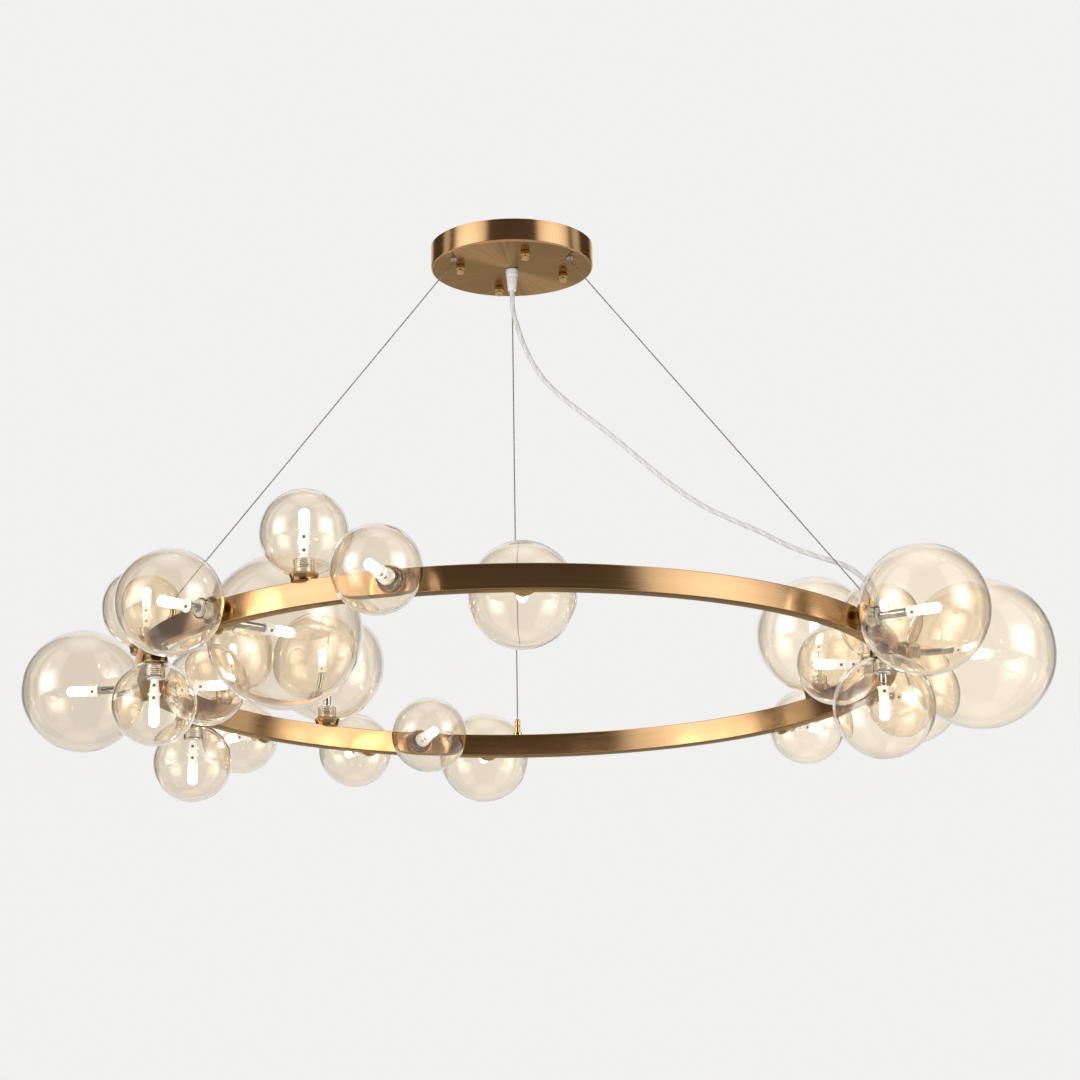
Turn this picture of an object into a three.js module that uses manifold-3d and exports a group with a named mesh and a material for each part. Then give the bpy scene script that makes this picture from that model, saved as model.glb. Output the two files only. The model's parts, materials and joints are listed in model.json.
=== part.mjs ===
import * as THREE from 'three';
import { mergeVertices } from 'three/addons/utils/BufferGeometryUtils.js';
import Module from 'manifold-3d';

// Orb chandelier. A brass ring of rectangular tube hangs on three steel wires from a
// round canopy, and 24 glass globes of four sizes stand on it, outwards, inwards,
// upwards and downwards. Each globe screws on a threaded holder by a neck that turns
// into the glass, round a ceramic lamp holder with its capsule lamp. A clear cord
// brings the current from the canopy to a gland on the ring.
// Millimetres, +Z up, +X to the right as seen from the front, +Y to the back.
// The origin is the middle of the ceiling face, on top of the ceiling bracket.

// Driving dimensions of the ring and its height
const ringDrop = 452.5; // ceiling to the middle of the ring's height
const ringRadius = 380; // outer face
const ringDepth = 14; // outer face to inner face
const ringHeight = 24;
const ringWall = 2;

// Canopy, spun from sheet, open to the ceiling
const canopyRadius = 84;
const canopyHeight = 24.5;
const canopySheet = 1.5;
const canopyRound = 3; // outer radius of its lower edge

// Ceiling bracket, a flat cross with four studs through the canopy
const bracketThick = 2;
const bracketArmWidth = 22;
const bracketHubRadius = 22;
const wiringHoleRadius = 5;
const wiringHoleReach = 14; // from the middle, so that the middle stays solid
const screwSlotWidth = 4.5;
const screwSlotLength = 14;
const screwSlotReach = 36;
const studCircle = 55; // radius of the four studs
const studTurn = 14.5; // degrees, of the first stud
const studCount = 4;
const studRadius = 2;
const studClearance = 0.5;

// Ball-ended cap nuts on the studs
const nutRadius = 4.75;
const nutLength = 10;
const nutBoreDepth = 7;
const nutTipGap = 1; // left above the stud's end in the bore

// Strain relief of the cord, a moulded bush with its lock nut inside the canopy
const reliefCollarRadius = 6.4;
const reliefTipRadius = 4.2;
const reliefCollarLength = 8;
const reliefLength = 24;
const reliefShankRadius = 5;
const reliefNutRadius = 8;
const reliefNutThick = 3;
const reliefFit = 0.4; // round the shank in the canopy's hole

// Suspension wires, their ferrules on the canopy and their grippers on the ring
const wireRadius = 0.65;
const wireCircle = 69; // radius of the exits in the canopy
const wireExitTurns = [90, 210, 330];
const gripperTurns = [90, 209.3, 334]; // on the ring, in the same order
const ferruleRadius = 4;
const ferruleLength = 3;
const gripperRadius = 3;
const gripperLength = 19;
const gripperNutRadius = 4.8;
const gripperNutThick = 3.5;

// Cord, its direction from the middle, and its gland on the ring
const cordRadius = 2.5;
const cordTurn = 337.5;
const conductorRadius = 1.8; // bore for the cores where the jacket ends
const glandRadius = 5;
const glandTipRadius = 4;
const glandLength = 15;

// Globes: glass balls whose threaded neck turns into the ball
const glassWall = 1.5;
const globeSmall = 82; // diameters
const globeMedium = 100;
const globeLarge = 125;
const globeGrand = 150;
const neckLength = 13.5; // above the cup's rim
const neckFit = 0.75; // between the neck's bore and the sleeve

// Holders: flared brass cup, threaded sleeve and, under the larger globes, a stem
const cupBaseRadius = 12;
const cupRimRadius = 14;
const cupHeight = 7.2;
const cupWall = 1;
const cupFloor = 2;
const sleeveRadius = 7.75;
const sleeveHeight = 22; // above the face of the ring
const stemRadius = 4;
const stemMedium = 13; // above the sleeve
const stemLarge = 30;
const stemGrand = 36;
const holderSink = 0.6; // the cup's base lies this deep in the ring's curved face

// Lamps: ceramic holder with a flange, and the capsule lamp in it
const shankLength = 14; // tapered foot, only where no stem carries the lamp
const shankFootRadius = 3.65;
const shankTopRadius = 5;
const flangeRadius = 6.5;
const flangeThick = 1.5;
const ceramicRadius = 5.25;
const ceramicLength = 9.5;
const capsuleRadius = 4.85;
const capsuleLength = 22;
const capsuleTip = 3; // length of the drawn-in end

// Shared gaps and overruns
const seatGap = 0.3; // between pieces that rest on each other
const wireGap = 0.8; // at the middle of a slanted wire's end
const overrun = 1; // how far a cut or a joined foot runs on

// Steps of the round shapes
const ringSides = 60;
const canopySides = 36;
const roundSteps = 2;
const slimSides = 6;
const smallSides = 8;
const middleSides = 10;
const globeSides = 12;
const globeSteps = 6;
const domeSteps = 3;
const cordSteps = 36;

// Each globe: its turn on the ring in degrees, its diameter, and the side it stands on
const mountings = [
  { turn: 6.0, size: globeSmall, side: 'up' },
  { turn: 18.6, size: globeMedium, side: 'out' },
  { turn: 31.3, size: globeLarge, side: 'up' },
  { turn: 42.2, size: globeSmall, side: 'out' },
  { turn: 95.0, size: globeMedium, side: 'out' },
  { turn: 107.6, size: globeSmall, side: 'in' },
  { turn: 115.3, size: globeSmall, side: 'out' },
  { turn: 124.1, size: globeLarge, side: 'up' },
  { turn: 135.4, size: globeSmall, side: 'out' },
  { turn: 146.4, size: globeMedium, side: 'up' },
  { turn: 155.6, size: globeSmall, side: 'down' },
  { turn: 171.5, size: globeSmall, side: 'in' },
  { turn: 171.6, size: globeLarge, side: 'out' },
  { turn: 187.4, size: globeSmall, side: 'up' },
  { turn: 201.4, size: globeSmall, side: 'down' },
  { turn: 219.4, size: globeGrand, side: 'in' },
  { turn: 223.5, size: globeMedium, side: 'out' },
  { turn: 239.0, size: globeSmall, side: 'up' },
  { turn: 253.3, size: globeSmall, side: 'out' },
  { turn: 271.1, size: globeMedium, side: 'in' },
  { turn: 328.1, size: globeLarge, side: 'out' },
  { turn: 341.3, size: globeMedium, side: 'down' },
  { turn: 353.5, size: globeGrand, side: 'out' },
  { turn: 357.5, size: globeSmall, side: 'in' },
];

// The cord's route: distance from the middle and height, along its direction
const cordRoute = [
  [0, -48.8], [0, -56], [0, -64], [1.5, -74], [5, -87], [10, -103], [17, -120],
  [27, -139], [41, -158], [61, -178], [86, -200], [113, -225], [140, -251],
  [168, -277], [199, -302], [230, -321], [261, -338], [292, -357], [322, -371],
  [345, -381.5], [361, -394], [370, -406], [373, -415], [373, -420], [373, -425.2],
];

// Heights and circles that follow from the sizes above
const canopyUnder = -canopyHeight;
const canopyFloor = -canopyHeight + canopySheet;
const ringMiddle = ringRadius - ringDepth / 2;
const ringTop = -ringDrop + ringHeight / 2;
const gripperTop = ringTop + gripperLength;
const neckBore = sleeveRadius + neckFit;
const neckOuter = neckBore + glassWall;
const stems = new Map([
  [globeSmall, 0],
  [globeMedium, stemMedium],
  [globeLarge, stemLarge],
  [globeGrand, stemGrand],
]);
const sides = {
  up: { tilt: 0, reach: ringMiddle, lift: ringHeight / 2 },
  out: { tilt: 90, reach: ringRadius, lift: 0 },
  in: { tilt: -90, reach: ringRadius - ringDepth, lift: 0 },
  down: { tilt: 180, reach: ringMiddle, lift: -ringHeight / 2 },
};

// Finishes
const brass = new THREE.MeshStandardMaterial({ color: 0xc89e68, roughness: 0.3, metalness: 1 });
const steel = new THREE.MeshStandardMaterial({ color: 0x8f9092, roughness: 0.4, metalness: 1 });
const ceramic = new THREE.MeshStandardMaterial({ color: 0xf6f3ec, roughness: 0.4, metalness: 0 });
const glass = new THREE.MeshStandardMaterial({
  color: 0xe8cfa8, roughness: 0.05, metalness: 0, transparent: true, opacity: 0.4,
});
const clearPlastic = new THREE.MeshStandardMaterial({
  color: 0xe9e9e6, roughness: 0.3, metalness: 0,
});

const wasm = await Module();
wasm.setup();

const radians = THREE.MathUtils.degToRad;

// A clean closed surface: shared corners merged, empty triangles at the axis left
// out, and the faces turned outwards
function sealed(geometry) {
  geometry.deleteAttribute('normal');
  geometry.deleteAttribute('uv');
  const merged = mergeVertices(geometry);
  const corners = merged.index.array;
  const kept = [];
  for (let i = 0; i < corners.length; i += 3) {
    const [a, b, c] = [corners[i], corners[i + 1], corners[i + 2]];
    if (a !== b && b !== c && c !== a) kept.push(a, b, c);
  }
  if (volumeOf(merged, kept) < 0) kept.reverse();
  merged.setIndex(kept);
  return merged;
}

// Signed volume inside a closed surface, from the tetrahedra to the origin
function volumeOf(geometry, corners) {
  const places = geometry.attributes.position;
  const [a, b, c] = [new THREE.Vector3(), new THREE.Vector3(), new THREE.Vector3()];
  let total = 0;
  for (let i = 0; i < corners.length; i += 3) {
    a.fromBufferAttribute(places, corners[i]);
    b.fromBufferAttribute(places, corners[i + 1]);
    c.fromBufferAttribute(places, corners[i + 2]);
    total += a.dot(b.cross(c)) / 6;
  }
  return total;
}

// A closed surface as a solid that can be joined and cut
function solidOf(geometry) {
  const surface = sealed(geometry);
  return new wasm.Manifold(new wasm.Mesh({
    numProp: 3,
    vertProperties: new Float32Array(surface.attributes.position.array),
    triVerts: new Uint32Array(surface.index.array),
  }));
}

// The finished solid as geometry again
function geometryOf(solid) {
  const mesh = solid.getMesh();
  const geometry = new THREE.BufferGeometry();
  geometry.setAttribute('position', new THREE.BufferAttribute(mesh.vertProperties, 3));
  geometry.setIndex(new THREE.BufferAttribute(mesh.triVerts, 1));
  return geometry;
}

// A profile of [radius, height] points turned round the Z axis
function turned(profile, count) {
  const points = profile.map(([radius, height]) => new THREE.Vector2(radius, height));
  return new THREE.LatheGeometry(points, count).rotateX(Math.PI / 2);
}

// A round bar along Z from one height to another, with an optional taper
function bar(radius, low, high, count, topRadius = radius) {
  return turned([[0, low], [radius, low], [topRadius, high], [0, high]], count);
}

// The point at a turn and a distance from the middle axis
function around(turn, reach, height) {
  return new THREE.Vector3(reach, 0, height)
    .applyAxisAngle(new THREE.Vector3(0, 0, 1), radians(turn));
}

// Points on an arc, by the angle from the axis, as [radius, height]
function arc(radius, height, from, to, steps) {
  return Array.from({ length: steps + 1 }, (_, i) => {
    const angle = from + (to - from) * i / steps;
    return [radius * Math.sin(angle), height + radius * Math.cos(angle)];
  });
}

// A flat bar with round ends, centred, lying along X. A half circle takes twice the
// curve segments.
function flatBar(length, width, low, high) {
  const shape = new THREE.Shape();
  const half = length / 2;
  shape.absarc(half, 0, width / 2, -Math.PI / 2, Math.PI / 2);
  shape.absarc(-half, 0, width / 2, Math.PI / 2, 3 * Math.PI / 2);
  return new THREE.ExtrudeGeometry(shape, {
    depth: high - low, bevelEnabled: false, curveSegments: smallSides / 4,
  }).translate(0, 0, low);
}

// A solid rod along a path. A full circle takes twice the curve segments.
function rod(radius, path, steps, count) {
  const outline = new THREE.Shape().absarc(0, 0, radius, 0, 2 * Math.PI);
  return sealed(new THREE.ExtrudeGeometry(outline, {
    steps, curveSegments: count / 2, bevelEnabled: false, extrudePath: path,
  }));
}

// Turn of one of the studs, in degrees
function studAngle(index) {
  return studTurn + index * 360 / studCount;
}

// Ceiling bracket: two crossed flat bars on a round hub, four studs, a hole for the
// supply wires beside the middle, and a slot in each arm for the ceiling screws
function ceilingBracket() {
  const low = -bracketThick;
  let body = solidOf(bar(bracketHubRadius, low, 0, globeSides));
  for (let i = 0; i < studCount / 2; i++) {
    const arms = flatBar(2 * studCircle, bracketArmWidth, low, 0);
    body = body.add(solidOf(arms.rotateZ(radians(studAngle(i)))));
  }
  const studEnd = canopyUnder - seatGap - nutBoreDepth + nutTipGap;
  for (let i = 0; i < studCount; i++) {
    const stud = bar(studRadius, studEnd, low + bracketThick / 2, smallSides);
    const place = around(studAngle(i), studCircle, 0);
    body = body.add(solidOf(stud.translate(place.x, place.y, 0)));
    const slot = flatBar(
      screwSlotLength - screwSlotWidth, screwSlotWidth, low - overrun, overrun,
    ).translate(screwSlotReach, 0, 0);
    body = body.subtract(solidOf(slot.rotateZ(radians(studAngle(i)))));
  }
  const hole = around(studAngle(0) + 180 / studCount, wiringHoleReach, 0);
  const drill = bar(wiringHoleRadius, low - overrun, overrun, middleSides);
  return geometryOf(body.subtract(solidOf(drill.translate(hole.x, hole.y, 0))));
}

// Canopy: a shallow cup with a rounded lower edge, holes for the studs and the strain
// relief, and three ferrules that the wires come out of
function canopy() {
  const hole = reliefShankRadius + reliefFit;
  const inner = canopyRadius - canopySheet;
  const corner = arc(
    canopyRound, canopyUnder + canopyRound, Math.PI, Math.PI / 2, roundSteps,
  ).map(([radius, height]) => [canopyRadius - canopyRound + radius, height]);
  const profile = [
    [hole, canopyUnder], ...corner, [canopyRadius, 0], [inner, 0],
    [inner, canopyFloor + canopySheet], [inner - canopySheet, canopyFloor],
    [hole, canopyFloor], [hole, canopyUnder],
  ];
  let body = solidOf(turned(profile, canopySides));
  for (let i = 0; i < studCount; i++) {
    const place = around(studAngle(i), studCircle, 0);
    const drill = bar(
      studRadius + studClearance, canopyUnder - overrun, canopyFloor + overrun, smallSides,
    );
    body = body.subtract(solidOf(drill.translate(place.x, place.y, 0)));
  }
  for (const turn of wireExitTurns) {
    const place = around(turn, wireCircle, 0);
    const ferrule = bar(
      wireRadius + canopySheet, canopyUnder - ferruleLength, canopyFloor, smallSides,
      ferruleRadius,
    );
    body = body.add(solidOf(ferrule.translate(place.x, place.y, 0)));
  }
  return geometryOf(body);
}

// Cap nut: a collar with a blind bore for the stud, closed by a ball end
function capNut() {
  const top = -seatGap;
  const boreRadius = studRadius + studClearance;
  const ballMiddle = top - nutLength + nutRadius;
  const ball = arc(nutRadius, ballMiddle, Math.PI, Math.PI / 2, domeSteps);
  return sealed(turned([
    ...ball, [nutRadius, top], [boreRadius, top],
    [boreRadius, top - nutBoreDepth], [0, top - nutBoreDepth],
  ], smallSides));
}

// Strain relief: lock nut above the canopy's sheet, shank through it, and a collar
// below that tapers to the cord, with a bore for the cores
function strainRelief() {
  const under = canopyUnder - seatGap;
  const above = canopyFloor + seatGap;
  const end = canopyUnder - reliefLength;
  return sealed(turned([
    [conductorRadius, end], [reliefTipRadius, end],
    [reliefCollarRadius, canopyUnder - reliefCollarLength], [reliefCollarRadius, under],
    [reliefShankRadius, under], [reliefShankRadius, above], [reliefNutRadius, above],
    [reliefNutRadius, above + reliefNutThick], [conductorRadius, above + reliefNutThick],
    [conductorRadius, end],
  ], middleSides));
}

// A straight wire from its ferrule to the top of its gripper
function suspensionWire(index) {
  const upper = around(wireExitTurns[index], wireCircle, canopyUnder - ferruleLength - wireGap);
  const lower = around(gripperTurns[index], ringMiddle, gripperTop + wireGap);
  return rod(wireRadius, new THREE.LineCurve3(upper, lower), 1, slimSides);
}

// The cord, hanging slack from the strain relief to the gland
function powerCord() {
  const route = cordRoute.map(([reach, height]) => around(cordTurn, reach, height));
  return rod(cordRadius, new THREE.CatmullRomCurve3(route), cordSteps, smallSides);
}

// One holder, standing on Z from the face of the ring: flared cup, threaded sleeve,
// and the stem under a larger globe
function holder(size) {
  const stem = stems.get(size);
  const top = stem
    ? [[stemRadius, sleeveHeight], [stemRadius, sleeveHeight + stem], [0, sleeveHeight + stem]]
    : [[0, sleeveHeight]];
  return turned([
    [0, -holderSink], [cupBaseRadius, -holderSink], [cupRimRadius, cupHeight],
    [cupRimRadius - cupWall, cupHeight], [cupBaseRadius - cupWall, cupFloor],
    [sleeveRadius, cupFloor], [sleeveRadius, sleeveHeight], ...top,
  ], smallSides);
}

// Sets a geometry or an object on its place on the ring, its own Z axis pointing
// away from the ring's face
function mountingMatrix({ turn, side }) {
  const { tilt, reach, lift } = sides[side];
  const place = around(turn, reach, lift);
  const angles = new THREE.Euler(0, radians(tilt), radians(turn), 'ZYX');
  return new THREE.Matrix4().makeRotationFromEuler(angles).setPosition(place);
}

// Ring: a closed rectangular tube with its 24 holders, the three wire grippers and
// the cord's gland, whose bore opens into the tube
function ring() {
  const low = -ringHeight / 2;
  const high = ringHeight / 2;
  const loop = (inner, outer, bottom, top) => solidOf(turned([
    [inner, bottom], [outer, bottom], [outer, top], [inner, top], [inner, bottom],
  ], ringSides));
  const inside = ringRadius - ringDepth;
  let body = loop(inside, ringRadius, low, high);
  body = body.subtract(
    loop(inside + ringWall, ringRadius - ringWall, low + ringWall, high - ringWall),
  );
  for (const mounting of mountings) {
    const piece = holder(mounting.size).applyMatrix4(mountingMatrix(mounting));
    body = body.add(solidOf(piece));
  }
  const foot = high - ringWall / 2;
  for (const turn of gripperTurns) {
    const place = around(turn, ringMiddle, 0);
    const gripper = turned([
      [0, foot], [gripperNutRadius, foot], [gripperNutRadius, high + gripperNutThick],
      [gripperRadius, high + gripperNutThick], [gripperRadius, high + gripperLength],
      [0, high + gripperLength],
    ], smallSides);
    body = body.add(solidOf(gripper.translate(place.x, place.y, 0)));
  }
  const spot = around(cordTurn, ringMiddle, 0);
  const gland = bar(glandRadius, foot, high + glandLength, middleSides, glandTipRadius);
  const bore = bar(
    conductorRadius, high - ringWall - overrun, high + glandLength + overrun, smallSides,
  );
  body = body.add(solidOf(gland.translate(spot.x, spot.y, 0)));
  return geometryOf(body.subtract(solidOf(bore.translate(spot.x, spot.y, 0))));
}

// Lamp, standing on Z from the end of its sleeve or stem: tapered foot where there
// is no stem, flange, ceramic body and the glass capsule
function lamp(size) {
  const stem = stems.get(size);
  const base = sleeveHeight + stem + seatGap;
  const flange = stem ? base : base + shankLength;
  const foot = stem ? [] : [[shankFootRadius, base], [shankTopRadius, flange]];
  const body = flange + flangeThick;
  const capsule = body + ceramicLength;
  const end = capsule + capsuleLength;
  return sealed(turned([
    [0, base], ...foot, [flangeRadius, flange], [flangeRadius, body],
    [ceramicRadius, body], [capsuleRadius, capsule], [capsuleRadius, end - capsuleTip],
    [0, end],
  ], slimSides));
}

// Globe, standing on Z: the ball rests on the cup's rim, and its neck turns inwards
// from the mouth, round the sleeve
function globe(size) {
  const outer = size / 2;
  const inner = outer - glassWall;
  const middle = cupHeight + seatGap + Math.sqrt(outer ** 2 - cupRimRadius ** 2);
  const mouth = Math.PI - Math.asin(neckBore / outer);
  const root = Math.PI - Math.asin(neckOuter / inner);
  const neckEnd = cupHeight + neckLength;
  return sealed(turned([
    ...arc(outer, middle, 0, mouth, globeSteps), [neckBore, neckEnd],
    [neckOuter, neckEnd], ...arc(inner, middle, root, 0, globeSteps),
  ], globeSides));
}

function named(name, geometry, material) {
  const mesh = new THREE.Mesh(geometry, material);
  mesh.name = name;
  return mesh;
}

const chandelier = new THREE.Group();

// What is fixed to the ceiling
chandelier.add(named('ceiling_bracket', ceilingBracket(), steel));
chandelier.add(named('canopy', canopy(), brass));
chandelier.add(named('strain_relief', strainRelief(), clearPlastic));
for (let i = 0; i < studCount; i++) {
  const nut = named(`cap_nut_${i + 1}`, capNut(), brass);
  nut.position.copy(around(studAngle(i), studCircle, canopyUnder));
  chandelier.add(nut);
}

// What hangs from the canopy
wireExitTurns.forEach((_, i) => {
  chandelier.add(named(`suspension_wire_${i + 1}`, suspensionWire(i), steel));
});
chandelier.add(named('power_cord', powerCord(), clearPlastic));

// The ring with its lamps and globes
const ringGroup = new THREE.Group();
ringGroup.position.z = -ringDrop;
ringGroup.add(named('ring', ring(), brass));
mountings.forEach((mounting, i) => {
  const number = String(i + 1).padStart(2, '0');
  const spot = new THREE.Group();
  spot.applyMatrix4(mountingMatrix(mounting));
  spot.add(named(`lamp_${number}`, lamp(mounting.size), ceramic));
  spot.add(named(`globe_${number}`, globe(mounting.size), glass));
  ringGroup.add(spot);
});
chandelier.add(ringGroup);

export default chandelier;
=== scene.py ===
"""Orb chandelier: the looks of its brass ring, canopy, wires, cord, lamp holders and glass balls.

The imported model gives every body, joint and box. Each operator below makes one kind of piece, finer than
the solid that it stands for, and lets it ride on that solid's body. Lengths are in metres, +Z is up, and
the ceiling is at zero.
"""

import json
import math

import bpy
import numpy as np
from mathutils import Matrix, Vector


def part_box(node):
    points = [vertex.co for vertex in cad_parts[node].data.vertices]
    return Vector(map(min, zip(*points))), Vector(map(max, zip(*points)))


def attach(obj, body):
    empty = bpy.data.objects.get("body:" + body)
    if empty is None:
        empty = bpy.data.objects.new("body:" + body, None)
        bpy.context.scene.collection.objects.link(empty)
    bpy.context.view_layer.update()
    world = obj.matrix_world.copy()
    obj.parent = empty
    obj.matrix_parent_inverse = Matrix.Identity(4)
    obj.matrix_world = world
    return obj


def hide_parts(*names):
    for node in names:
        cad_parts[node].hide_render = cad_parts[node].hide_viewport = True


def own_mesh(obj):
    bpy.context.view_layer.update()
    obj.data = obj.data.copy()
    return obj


bl_info = {
    "name": "Orb Chandelier",
    "version": (1, 0, 0),
    "blender": (4, 5, 0),
    "location": "3D View > Sidebar > Chandelier",
    "description": "Dresses the orb chandelier in brass, nickel, ceramic and blown glass",
    "category": "Object",
}

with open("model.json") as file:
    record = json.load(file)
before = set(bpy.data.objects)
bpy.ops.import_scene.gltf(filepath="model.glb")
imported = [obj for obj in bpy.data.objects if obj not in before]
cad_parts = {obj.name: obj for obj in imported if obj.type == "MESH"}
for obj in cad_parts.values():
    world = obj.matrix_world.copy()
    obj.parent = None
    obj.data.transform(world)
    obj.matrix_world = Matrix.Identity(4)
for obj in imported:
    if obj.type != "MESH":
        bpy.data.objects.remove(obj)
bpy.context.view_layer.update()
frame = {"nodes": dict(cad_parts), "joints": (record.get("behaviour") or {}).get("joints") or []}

LAMP_NUMBERS = [f"{number:02d}" for number in range(1, 25)]
# The length of the stem under the lamp, for each diameter of ball
STEM_LENGTHS = {0.082: 0.0, 0.100: 0.013, 0.125: 0.030, 0.150: 0.036}

# Turns about the chandelier's axis, in degrees
WIRE_EXIT_TURNS = (90.0, 210.0, 330.0)
GRIPPER_TURNS = (90.0, 209.3, 334.0)
STUD_TURNS = (14.5, 104.5, 194.5, 284.5)
CORD_TURN = 337.5

# How finely each kind of surface is divided
RING_SIDES = 360
ROUND_SIDES = 256
BALL_SIDES = 72
BALL_STEPS = 34
FINE_SIDES = 48
TURNED_SIDES = 32
THREAD_SIDES = 28
SLIM_SIDES = 16
HEX_SIDES = 6
CORD_ROWS = 420
CORD_SIDES = 24
CORE_SIDES = 10
WIRE_SIDES = 18
WIRE_ROWS_IN_A_LAY = 8
THREAD_ROWS_IN_A_TURN = 6
CURVE_STEPS = 24

# Counts and shares of small shapes
WIRE_STRANDS = 6
WIRE_GROOVE_SHARE = 0.28
THREAD_DEPTH_SHARE = 0.6
THREAD_START_SHARE = 0.5
GRIP_FLUTES = 12
GLAND_FLUTES = 8
# The most that a rounding takes of a side, and lengths too short to count
MOST_OF_A_SIDE = 0.48
NO_LENGTH = 1e-12
SAME_POINT = 1e-8
SHARP_EDGE = math.radians(35)
# The painted highlight fans' widest pair lies at a turn of 58 degrees: cosine and sine of twice that
PAINTED_FAN_EVEN = math.cos(math.radians(2 * 58.0))
PAINTED_FAN_ODD = math.sin(math.radians(2 * 58.0))

# Camera and studio
SENSOR = 36.0
CLIP = (0.05, 200.0)
SOFT_LAMP_PLACE = (-0.9, -2.6, -0.9)
SKY_EDGE = (55.0, 85.0)
GLASS_BOUNCES = 32
BRIGHTEST_BOUNCE = 6.0

# The cord's route in its own upright plane: how far out from the middle, and the height
CORD_ROUTE = [
    (0.0, -0.0488), (0.0, -0.056), (0.0, -0.064), (0.0015, -0.074), (0.005, -0.087),
    (0.010, -0.103), (0.017, -0.120), (0.027, -0.139), (0.041, -0.158), (0.061, -0.178),
    (0.086, -0.200), (0.113, -0.225), (0.140, -0.251), (0.168, -0.277), (0.199, -0.302),
    (0.230, -0.321), (0.261, -0.338), (0.292, -0.357), (0.322, -0.371), (0.345, -0.3815),
    (0.361, -0.394), (0.370, -0.406), (0.373, -0.415), (0.373, -0.420), (0.373, -0.4252),
]

# Light boxes of the studio: azimuth from and to, elevation from and to, in degrees, edge, strength
LIGHT_BOXES = [
    (-87.0, -36.0, -12.0, 62.0, 5.5, 0.95),
    (37.0, 88.0, -12.0, 62.0, 5.0, 0.90),
    (-112.0, -98.0, -12.0, 62.0, 4.0, 0.6),
    (96.0, 112.0, -12.0, 62.0, 4.0, 0.6),
    (-210.0, -152.0, -12.0, 62.0, 8.0, 0.8),
    (152.0, 210.0, -12.0, 62.0, 8.0, 0.8),
]

# Their soft hearts, brighter in glass, as a lamp behind cloth is
LIGHT_HEARTS = [(-80.0, -48.0, -6.0, 26.0, 12.0, 0.85), (46.0, 76.0, -6.0, 26.0, 12.0, 0.85)]
HEART_IN_GLASS = 5.6

# Through the glass the wall is a little darker on the left and brighter on the right: how far to each
# side, as a direction's x, and by what share
WALL_REACH = 0.16
WALL_SLOPE = (0.15, 0.10)


# Properties

LENGTH = {"min": 0.0, "precision": 5, "subtype": "DISTANCE", "unit": "LENGTH"}
ANGLE = {"subtype": "ANGLE", "unit": "ROTATION"}
COLOUR = {"min": 0.0, "max": 1.0, "subtype": "COLOR"}
STRENGTH = {"min": 0.0, "max": 20.0, "subtype": "FACTOR"}
LENS = {"min": 1.0, "unit": "CAMERA"}
POWER = {"min": 0.0, "unit": "POWER"}


def settings(kind, rows):
    """Properties of one kind that a user can set. Each row has a name, a default and a description."""
    make = bpy.props.FloatVectorProperty if kind is COLOUR else bpy.props.FloatProperty
    return {
        name: make(name=name.replace("_", " ").capitalize(), default=default, description=text, **kind)
        for name, (default, text) in rows.items()
    }


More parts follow.
